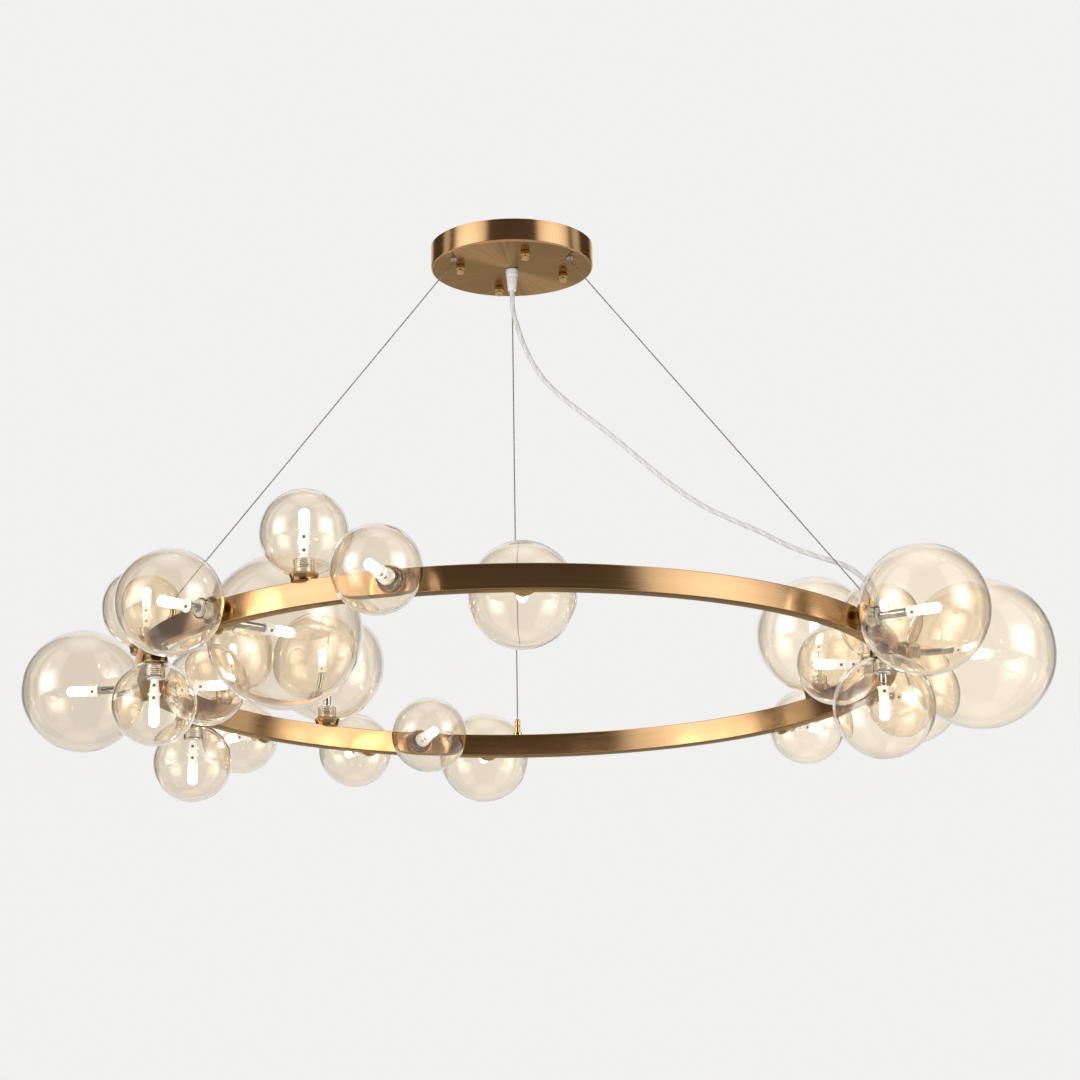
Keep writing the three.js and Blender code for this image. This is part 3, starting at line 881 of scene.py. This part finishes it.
class CHANDELIER_OT_grip(Step, bpy.types.Operator):
    """Adds the strain relief: a fluted collar, a tapered nut and the lock nut inside the canopy"""

    bl_idname = "chandelier.grip"
    bl_label = "Cord Grip"

    def make(self, sizes, finish, studio):
        groove, gap, wide = sizes.grip_groove, sizes.seat_gap, sizes.grip_radius
        collar, tip, end = sizes.grip_collar, sizes.grip_tip, sizes.grip_length
        shoulder = wide - groove
        body = rounded([
            (0, gap), (wide, gap), (wide, collar - groove), (shoulder - groove, collar),
            (shoulder - groove, collar + groove), (shoulder, collar + 2 * groove),
            (shoulder - groove, (collar + end) / 2), (tip, end), (sizes.cord_radius, end),
            (sizes.cord_radius, end - groove), (0, end - groove),
        ], groove * 1.2)

        def flutes(turn, height):
            """Shallow flutes around the collar and, fainter, around the tapered nut."""
            depth = np.where(height < collar, groove * 0.35, groove * 0.25)
            return -depth * within(height, gap, groove, end, collar) * flute(GRIP_FLUTES, turn)

        inside = -sizes.canopy_sheet - gap
        hold, shank = sizes.grip_nut_radius, sizes.grip_shank
        nut = rounded([
            (0, inside - sizes.grip_nut_height), (hold, inside - sizes.grip_nut_height),
            (hold, inside), (shank, inside), (shank, 2 * gap), (0, 2 * gap),
        ], groove)
        form = joined([lathe(body, FINE_SIDES, flutes), lathe(nut, HEX_SIDES)])
        piece(
            "cord_grip", form.placed(standing((0.0, 0.0, -sizes.canopy_height), -1.0)),
            moulded_plastic("satin_nylon", finish.grip), "ceiling_mount", "clear_plastic",
            "strain_relief",
        )


class CHANDELIER_OT_wires(Step, bpy.types.Operator):
    """Adds the three steel wires, each of six strands laid round each other: the radius is
    r (1 - g (1 - |cos 3b|)), where the angle b turns once in each lay"""

    bl_idname = "chandelier.wires"
    bl_label = "Suspension Wires"

    def make(self, sizes, finish, studio):
        steel = stranded_steel(finish.steel)
        ring_top = sizes.ring_height / 2 - sizes.ring_drop
        low = ring_top + sizes.gripper_length + sizes.wire_gap
        high = -sizes.canopy_height - sizes.ferrule_length - sizes.wire_gap
        reach = sizes.ring_radius - sizes.ring_depth / 2
        turn = turns(WIRE_SIDES)
        for number, (exit_turn, gripper_turn) in enumerate(zip(WIRE_EXIT_TURNS, GRIPPER_TURNS), 1):
            foot = around(gripper_turn, reach, low)
            rise = around(exit_turn, sizes.wire_circle, high) - foot
            length = np.linalg.norm(rise)
            rows = int(WIRE_ROWS_IN_A_LAY * length / sizes.wire_lay)
            steps = np.linspace(0, 1, rows)[:, None]
            lay = 2 * math.pi * steps * length / sizes.wire_lay
            crown = abs(np.cos(WIRE_STRANDS / 2 * (turn - lay)))
            radius = sizes.wire_radius * (1 - WIRE_GROOVE_SHARE * (1 - crown))
            across = unit(np.cross([0.0, 0.0, 1.0], rise))
            wire = piece(
                f"twisted_wire_{number}", tube(foot + rise * steps, across, circle(radius, turn)),
                steel, "ceiling_mount", "steel", f"suspension_wire_{number}",
            )
            shorten_with_ring(wire, high, low)


class CHANDELIER_OT_canopy(Step, bpy.types.Operator):
    """Adds the canopy, a spun brass cup with a rounded edge, and the three wire exits in it"""

    bl_idname = "chandelier.canopy"
    bl_label = "Canopy"

    def make(self, sizes, finish, studio):
        wide, under, sheet = sizes.canopy_radius, -sizes.canopy_height, sizes.canopy_sheet
        inner, floor = wide - sheet, under + sheet
        corners = [
            (0, under), (wide * 0.35, under), (wide * 0.7, under), (wide, under), (wide, 0), (inner, 0),
            (inner, floor), (wide * 0.5, floor), (0, floor),
        ]
        cuts = [0, 0, 0, sizes.canopy_round, sheet * 0.3, sheet * 0.3, sheet, 0, 0]
        # Out to near its rounded edge, the canopy's underside gets painted shade and painted highlight
        # fans
        brass = brushed_brass("brushed_brass_canopy", finish.brass, wide - 0.4 * sizes.canopy_round)
        cup = lathe(rounded(corners, cuts, 8), ROUND_SIDES)
        piece("canopy_cup", cup, brass, "ceiling_mount", "brass", "canopy")
        wide, end = sizes.ferrule_radius, sizes.ferrule_length
        ferrule = lathe(rounded([
            (0, -sheet), (wide, -sheet), (wide, end * 0.3), (wide * 0.62, end), (wide * 0.36, end),
            (wide * 0.3, end * 0.4), (0, end * 0.4),
        ], end * 0.2), TURNED_SIDES)
        exits = joined(
            ferrule.placed(standing(around(turn, sizes.wire_circle, under), -1.0))
            for turn in WIRE_EXIT_TURNS
        )
        nickel = polished_metal("exit_nickel", shaded(finish.nickel, 0.7), 0.06, 0.12)
        piece("wire_exits", exits, nickel, "ceiling_mount", "steel")


class CHANDELIER_OT_bracket(Step, bpy.types.Operator):
    """Gives the ceiling bracket its zinc, and its studs their thread: the radius falls by the thread's
    depth times the helix"""

    bl_idname = "chandelier.bracket"
    bl_label = "Ceiling Bracket"

    def make(self, sizes, finish, studio):
        zinc = galvanised(finish.zinc)
        for holder in frame["nodes"]["ceiling_bracket"].material_slots:
            holder.material = zinc
        length, pitch = sizes.canopy_height + sizes.stud_below, sizes.stud_pitch
        rows = int(length / pitch * THREAD_ROWS_IN_A_TURN)
        side = [(sizes.stud_radius, height) for height in np.linspace(sizes.seat_gap, length, rows)]
        stud = lathe(
            [(0, sizes.seat_gap), *side, (0, length)], SLIM_SIDES,
            lambda turn, height: -pitch * THREAD_DEPTH_SHARE * helix(turn, height, pitch),
        )
        studs = joined(
            stud.placed(standing(around(turn, sizes.stud_circle, 0.0), -1.0)) for turn in STUD_TURNS
        )
        made = piece("stud_threads", studs, zinc, "ceiling_mount", "steel")
        if made.dimensions.z > abs(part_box("ceiling_bracket")[0].z):
            raise RuntimeError("the studs' threads are longer than the studs")


class CHANDELIER_OT_nuts(Step, bpy.types.Operator):
    """Adds the four ball-ended cap nuts"""

    bl_idname = "chandelier.nuts"
    bl_label = "Cap Nuts"

    def make(self, sizes, finish, studio):
        gold = polished_metal("polished_brass_nuts", finish.gold, 0.05, 0.10)
        wide, groove, gap = sizes.nut_radius, sizes.nut_neck, sizes.seat_gap
        neck, middle = wide - groove, sizes.nut_length - wide
        collar = rounded([
            (0, gap), (wide, gap), (wide, middle - groove), (neck, middle - groove * 0.4),
            (neck, middle + groove * 0.3), (wide * 0.93, middle + groove),
        ], groove * 0.35)
        ball = arc(wide, middle, math.radians(74), 0, 14)
        nut = lathe(np.vstack([collar[:-1], ball]), TURNED_SIDES)
        for number, turn in enumerate(STUD_TURNS, 1):
            place = standing(around(turn, sizes.stud_circle, -sizes.canopy_height), -1.0)
            piece(
                f"ball_nut_{number}", nut.placed(place), gold, "ceiling_mount", "brass",
                f"cap_nut_{number}",
            )


class CHANDELIER_OT_ring(Step, bpy.types.Operator):
    """Adds the ring, a rectangular brass tube bent round, with its wire grippers and cord gland"""

    bl_idname = "chandelier.ring"
    bl_label = "Ring"

    def make(self, sizes, finish, studio):
        outer, inner = sizes.ring_radius, sizes.ring_radius - sizes.ring_depth
        under, over = -sizes.ring_drop - sizes.ring_height / 2, -sizes.ring_drop + sizes.ring_height / 2
        reach = (inner + outer) / 2
        section = rounded(
            [(inner, under), (outer, under), (outer, over), (inner, over)], sizes.ring_corner, 5,
            loop=True,
        )
        # The ring's lower face gets painted shade
        brass = brushed_brass("brushed_brass_ring", finish.brass, painted_shade_height=under)
        piece("ring_tube", lathe(section, RING_SIDES, loop=True), brass, "ring", "brass", "ring")
        gold = polished_metal("polished_brass_grippers", finish.gold, 0.10, 0.20)
        gripper = self.gripper(sizes)
        grippers = joined(
            gripper.placed(standing(around(turn, reach, over))) for turn in GRIPPER_TURNS
        )
        piece("wire_grippers", grippers, gold, "ring", "brass")
        gland = self.gland(sizes).placed(standing(around(CORD_TURN, reach, over)))
        piece("cord_gland", gland, gold, "ring", "brass")

    def gripper(self, sizes):
        """A slim turned barrel with a groove round its middle, on a wider nut."""
        foot, collar, hold = -sizes.cup_sink, sizes.gripper_nut_height, sizes.gripper_nut_radius
        top, wide, bore = sizes.gripper_length, sizes.gripper_radius, sizes.wire_radius * 1.3
        return lathe(rounded([
            (0, foot), (hold, foot), (hold, collar), (wide, collar), (wide, top * 0.52),
            (wide * 0.86, top * 0.54), (wide * 0.86, top * 0.58), (wide, top * 0.6),
            (wide, top * 0.9), (wide * 0.5, top), (bore, top), (bore, top * 0.9), (0, top * 0.9),
        ], wide * 0.14), TURNED_SIDES)

    def gland(self, sizes):
        """A tapered gland with a groove near its foot and flat grips around its nut."""
        foot, low, tip, top = -sizes.cup_sink, sizes.gland_radius, sizes.gland_tip, sizes.gland_length
        profile = rounded([
            (0, foot), (low, foot), (low, top * 0.22), (low * 0.9, top * 0.26), (low * 0.9, top * 0.3),
            (low * 0.97, top * 0.34), (tip * 1.05, top * 0.8), (tip, top * 0.94),
            (sizes.cord_radius * 1.15, top), (sizes.cord_radius * 1.05, top * 0.96), (0, top * 0.96),
        ], low * 0.08)

        def grips(turn, height):
            """Flat grips around the gland's nut."""
            nut = within(height, top * 0.34, top * 0.1, top * 0.9, top * 0.1)
            return -low * 0.07 * nut * flute(GLAND_FLUTES, turn)

        return lathe(profile, FINE_SIDES, grips)


class CHANDELIER_OT_holders(Step, bpy.types.Operator):
    """Adds what carries the lamps: flared cups, threaded sleeves and nickel stems"""

    bl_idname = "chandelier.holders"
    bl_label = "Lamp Carriers"

    def make(self, sizes, finish, studio):
        cup = self.cup(sizes)
        gold = polished_metal("polished_brass_cups", finish.gold, 0.12, 0.24, deep=0.42)
        made = piece("holder_cups", on_each(cup), gold, "ring", "brass")
        # Painted shade on the cups' flared sides below the rim: the groove attribute rises to 1 there
        reach, height = np.hypot(*cup.points[:, :2].T), cup.points[:, 2]
        low = np.clip((sizes.cup_height * 0.86 - height) / (sizes.cup_height * 0.2), 0, 1)
        low = np.where(reach > sizes.sleeve_radius, low, 0)
        marked(made, "groove", np.tile(low, len(MOUNTINGS)))
        sleeve = self.sleeve(sizes)
        nickel = threaded_nickel(finish.nickel)
        made = piece("threaded_sleeves", on_each(sleeve), nickel, "ring", "steel")
        # Painted shade in the sleeves' thread: the groove attribute is how deep each point lies in it
        below = sizes.sleeve_radius - np.hypot(*sleeve.points[:, :2].T)
        depth = np.where(below > sizes.thread_depth * 1.01, 0, below / sizes.thread_depth)
        marked(made, "groove", np.tile(depth, len(MOUNTINGS)))
        stems = joined(
            self.stem(sizes, mounting.stem).placed(mounting.place)
            for mounting in MOUNTINGS if mounting.stem
        )
        # The stems' nickel is a darker copy at 0.55 of its tone: painted shade standing for dark
        # reflections
        nickel = polished_metal("polished_nickel", shaded(finish.nickel, 0.55), 0.06, 0.16)
        piece("lamp_stems", stems, nickel, "ring", "steel")

    def cup(self, sizes):
        """A cup that flares with the square of its height, with a rounded rim."""
        rise = np.linspace(0, 1, 10)
        sink, floor, top, wall = sizes.cup_sink, sizes.cup_floor, sizes.cup_height, sizes.cup_wall
        flare = sizes.cup_base + (sizes.cup_rim - sizes.cup_base) * rise ** 2
        outside = np.stack([flare, -sink + (top + sink) * rise], axis=-1)
        inside = np.stack([flare - wall, floor + (top - floor) * rise], axis=-1)[::-1]
        profile = np.vstack([[(0, -sink)], outside, inside, [(0, floor)]])
        return lathe(rounded(profile, wall * 0.4, 3), FINE_SIDES)

    def sleeve(self, sizes):
        """A sleeve whose upper part is threaded: the radius falls by the thread's depth times the
        helix, which runs out at its two ends."""
        foot, top, wide, pitch = (
            sizes.cup_floor, sizes.sleeve_height, sizes.sleeve_radius, sizes.thread_pitch
        )
        rows = int((top - foot) / pitch * THREAD_ROWS_IN_A_TURN)
        side = [(wide, height) for height in np.linspace(foot, top, rows)]

        def thread(turn, height):
            """The thread's depth."""
            runs = within(height, top * THREAD_START_SHARE, pitch, top, pitch * 0.5)
            return -sizes.thread_depth * runs * helix(turn, height, pitch)

        return lathe([(0, foot), *side, (wide * 0.6, top), (0, top)], THREAD_SIDES, thread)

    def stem(self, sizes, length):
        """A plain stem with a groove near its upper end."""
        low, wide = sizes.sleeve_height - sizes.seat_gap, sizes.stem_radius
        high = sizes.sleeve_height + length
        groove = wide * 0.12
        return lathe(rounded([
            (0, low), (wide, low), (wide, high - 6 * groove), (wide - groove, high - 5 * groove),
            (wide - groove, high - 4 * groove), (wide, high - 3 * groove), (wide, high), (0, high),
        ], groove * 0.6), TURNED_SIDES)


class CHANDELIER_OT_lamps(Step, bpy.types.Operator):
    """Adds the ceramic lamp holders with their contact screws, and the lit capsules"""

    bl_idname = "chandelier.lamps"
    bl_label = "Lamps"

    def make(self, sizes, finish, studio):
        white = glazed_ceramic(finish.ceramic)
        lit = lit_capsule(finish.glow, finish.lamp_strength)
        screws = []
        for mounting in MOUNTINGS:
            place, number = mounting.place, mounting.number
            base = sizes.sleeve_height + mounting.stem + sizes.seat_gap
            flange = base if mounting.stem else base + sizes.shank_length
            body = flange + sizes.flange_height
            top = body + sizes.ceramic_length
            foot = [] if mounting.stem else [(sizes.shank_foot, base), (sizes.shank_top, flange)]
            wide = sizes.ceramic_radius
            ceramic = rounded([
                (0, base), *foot, (sizes.flange_radius, flange), (sizes.flange_radius, body),
                (wide, body), (wide, body + sizes.ceramic_length * 0.7),
                (sizes.capsule_radius, top), (0, top),
            ], sizes.flange_height * 0.35)
            holder = lathe(ceramic, FINE_SIDES).placed(place)
            piece(f"lamp_holder_{number}", holder, white, "ring", "ceramic", f"lamp_{number}")
            capsule = lathe(self.capsule(sizes, top), FINE_SIDES).placed(place)
            piece(f"lamp_capsule_{number}", capsule, lit, "ring", "glass")
            spots = [(wide, body + sizes.ceramic_length * 0.4)]
            if not mounting.stem:
                middle = (sizes.shank_foot + sizes.shank_top) / 2
                spots.append((middle, base + sizes.shank_length * 0.5))
            screws += [
                self.screw(sizes).placed(place @ self.facing(side, reach, height))
                for side in (1, -1) for reach, height in spots
            ]
        dark = polished_metal("screw_steel", shaded(finish.steel, 0.5), 0.2, 0.35)
        piece("contact_screws", joined(screws), dark, "ring", "steel")

    def capsule(self, sizes, foot):
        """A straight capsule with a narrower foot, that ends in half an ellipse."""
        wide, end = sizes.capsule_radius, foot + sizes.capsule_length
        waist = wide * 0.93
        dome = arc(wide, end - sizes.capsule_dome, math.pi / 2, 0, 9, sizes.capsule_dome)
        straight = [(0, foot), (waist, foot), (waist, foot + wide * 0.5), (wide, foot + wide * 0.8)]
        return np.vstack([straight, dome])

    def screw(self, sizes):
        """A small screw head with a rounded edge."""
        wide = sizes.screw_radius
        return lathe(rounded(
            [(0, -wide), (wide, -wide), (wide, wide * 0.3), (wide * 0.3, wide * 0.3), (0, wide * 0.1)],
            wide * 0.2,
        ), SLIM_SIDES)

    def facing(self, side, reach, height):
        """The place of a screw on one side of the holder: local Z points outwards along X."""
        return np.array([
            [0.0, 0.0, side, side * reach], [0.0, 1.0, 0.0, 0.0],
            [-side, 0.0, 0.0, height], [0.0, 0.0, 0.0, 1.0],
        ])


class CHANDELIER_OT_balls(Step, bpy.types.Operator):
    """Adds the blown balls: an outer and an inner sphere, joined by a neck that turns into the ball"""

    bl_idname = "chandelier.balls"
    bl_label = "Glass Balls"

    def make(self, sizes, finish, studio):
        glass = blown_glass(finish.glass)
        for mounting in MOUNTINGS:
            ball = lathe(self.profile(sizes, mounting.diameter / 2), BALL_SIDES)
            node = f"globe_{mounting.number}"
            made = piece(
                f"glass_ball_{mounting.number}", ball.placed(mounting.place), glass, node, "glass", node,
            )
            made.visible_shadow = False

    def profile(self, sizes, outer):
        """From the inner pole down the inner sphere, up the neck's outside, down its bore, and up the
        outer sphere. The ball rests on the cup's rim."""
        wall, bore = sizes.glass_wall, sizes.neck_bore
        inner = outer - wall
        middle = sizes.cup_height + sizes.seat_gap + math.sqrt(outer ** 2 - sizes.cup_rim ** 2)
        mouth = math.pi - math.asin(bore / outer)
        root = math.pi - math.asin((bore + wall) / inner)
        inside = arc(inner, middle, 0, root, BALL_STEPS)
        outside = arc(outer, middle, mouth, 0, BALL_STEPS)
        neck = [(bore + wall, sizes.neck_top), (bore, sizes.neck_top)]
        corners = np.vstack([inside, neck, outside])
        cuts = np.zeros(len(corners))
        cuts[BALL_STEPS:BALL_STEPS + 4] = np.array([1.6, 0.4, 0.4, 1.6]) * wall
        return rounded(corners, cuts, 5)


class CHANDELIER_OT_stage(Step, bpy.types.Operator):
    """Adds the pale floor, the soft lamp in front and the studio's light boxes"""

    bl_idname = "chandelier.stage"
    bl_label = "Stage"

    def make(self, sizes, finish, studio):
        half = studio.floor_size / 2
        mesh = bpy.data.meshes.new("floor")
        corners = [(-half, -half), (half, -half), (half, half), (-half, half)]
        mesh.from_pydata([(x, y, -studio.floor_drop) for x, y in corners], [], [(0, 1, 2, 3)])
        mesh.materials.append(self.floor(studio))
        linked("floor", mesh)
        lamp = bpy.data.lights.new("soft_lamp", "AREA")
        lamp.energy = studio.lamp_power
        lamp.size = studio.lamp_size
        soft = linked("soft_lamp", lamp)
        soft.location = SOFT_LAMP_PLACE
        aim = Vector((0, 0, -sizes.ring_drop)) - soft.location
        soft.rotation_euler = aim.to_track_quat("-Z", "Y").to_euler()
        soft.visible_camera = soft.visible_glossy = soft.visible_transmission = False
        self.room(studio)
        scene = bpy.context.scene
        scene.view_settings.view_transform = "Standard"
        scene.cycles.max_bounces = GLASS_BOUNCES
        scene.cycles.transmission_bounces = GLASS_BOUNCES
        scene.cycles.caustics_reflective = False
        scene.cycles.caustics_refractive = True
        scene.cycles.sample_clamp_indirect = BRIGHTEST_BOUNCE

    def floor(self, studio):
        """Pale matt paint with faint clouds. What looks at it straight or through glass sees it as pale
        as the wall, and it keeps its shadows."""
        nodes = material("pale_floor")
        camera, through = nodes.outputs("ShaderNodeLightPath", ("Is Camera Ray", "Is Transmission Ray"))
        seen = camera.math("MAXIMUM", through)
        return nodes.surface(
            Base_Color=nodes.blend(nodes.noise(1.5, 2.0), shaded(studio.pale, 0.96), studio.pale),
            Roughness=0.8,
            Specular_IOR_Level=0.0,
            Emission_Color=nodes.blend(seen, (0.0, 0.0, 0.0), studio.pale),
            Emission_Strength=studio.floor_lift,
        )

    def room(self, studio):
        """The camera and the glass see a plain pale wall. Light and gloss come from the boxes: each is
        a smooth window in azimuth a = atan2(x, -y) and elevation e = asin(z) of the ray."""
        world = bpy.data.worlds.new("studio")
        bpy.context.scene.world = world
        nodes = Nodes(world)
        x, y, z = nodes.split(nodes.ray)
        azimuth = x.math("ARCTAN2", y * -1.0) * math.degrees(1)
        elevation = z.math("ARCSINE") * math.degrees(1)
        camera, through, gloss, clear = nodes.outputs(
            "ShaderNodeLightPath",
            ("Is Camera Ray", "Is Transmission Ray", "Glossy Depth", "Is Singular Ray"),
        )

        def box(left, right, low, high, edge, strength):
            """One smooth window of light."""
            across = nodes.between(azimuth, left - edge, left + edge, 0.0, strength)
            across = across * nodes.between(azimuth, right - edge, right + edge, 1.0, 0.0)
            upward = nodes.between(elevation, low - edge, low + edge)
            return across * upward * nodes.between(elevation, high - edge, high + edge, 1.0, 0.0)

        light = nodes.between(elevation, *SKY_EDGE, studio.dim, studio.dim + studio.top_light)
        for row in LIGHT_BOXES:
            light = light + box(*row)
        for row in LIGHT_HEARTS:
            light = light + box(*row) * (1.0 + clear * HEART_IN_GLASS)
        warm = nodes.blend(nodes.between(light, 0.0, 0.6), (1.0, 0.78, 0.55), (1.0, 0.985, 0.96))
        tone = nodes.blend(clear, warm, (0.985, 1.0, 1.02))
        boxes = nodes.add("ShaderNodeBackground", {"Color": tone, "Strength": light})
        side = nodes.between(x, -WALL_REACH, WALL_REACH, -WALL_SLOPE[0], WALL_SLOPE[1])
        wall = {"Color": (*studio.pale, 1.0), "Strength": through * side + 1.0}
        wall = nodes.add("ShaderNodeBackground", wall)
        seen = camera.math("MAXIMUM", through * gloss.math("LESS_THAN", 1.0))
        shown = nodes.add("ShaderNodeMixShader", {0: seen, 1: boxes, 2: wall})
        nodes.add("ShaderNodeOutputWorld", {"Surface": shown})


STEPS = (
    CHANDELIER_OT_camera, CHANDELIER_OT_cord, CHANDELIER_OT_grip, CHANDELIER_OT_wires,
    CHANDELIER_OT_canopy, CHANDELIER_OT_bracket, CHANDELIER_OT_nuts, CHANDELIER_OT_ring,
    CHANDELIER_OT_holders, CHANDELIER_OT_lamps, CHANDELIER_OT_balls, CHANDELIER_OT_stage,
)
GROUPS = {
    "chandelier_sizes": ChandelierSizes,
    "chandelier_finishes": ChandelierFinishes,
    "chandelier_studio": ChandelierStudio,
}


class CHANDELIER_PT_steps(bpy.types.Panel):
    """The sizes, finishes and steps of the chandelier"""

    bl_label = "Orb Chandelier"
    bl_idname = "CHANDELIER_PT_steps"
    bl_space_type = "VIEW_3D"
    bl_region_type = "UI"
    bl_category = "Chandelier"

    def draw(self, context):
        for step in STEPS:
            self.layout.operator(step.bl_idname)
        for name, group in GROUPS.items():
            box = self.layout.box()
            for key in group.__annotations__:
                box.prop(getattr(context.scene, name), key)


def register():
    """Adds the classes, and the three groups of settings to every scene."""
    for item in (*GROUPS.values(), *STEPS, CHANDELIER_PT_steps):
        bpy.utils.register_class(item)
    for name, group in GROUPS.items():
        setattr(bpy.types.Scene, name, bpy.props.PointerProperty(type=group))


def unregister():
    """Takes the settings and the classes away again."""
    for name in GROUPS:
        delattr(bpy.types.Scene, name)
    for item in (CHANDELIER_PT_steps, *reversed(STEPS), *GROUPS.values()):
        bpy.utils.unregister_class(item)


def main():
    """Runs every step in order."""
    register()
    for step in STEPS:
        family, name = step.bl_idname.split(".")
        getattr(getattr(bpy.ops, family), name)()


if __name__ == "__main__":
    main()
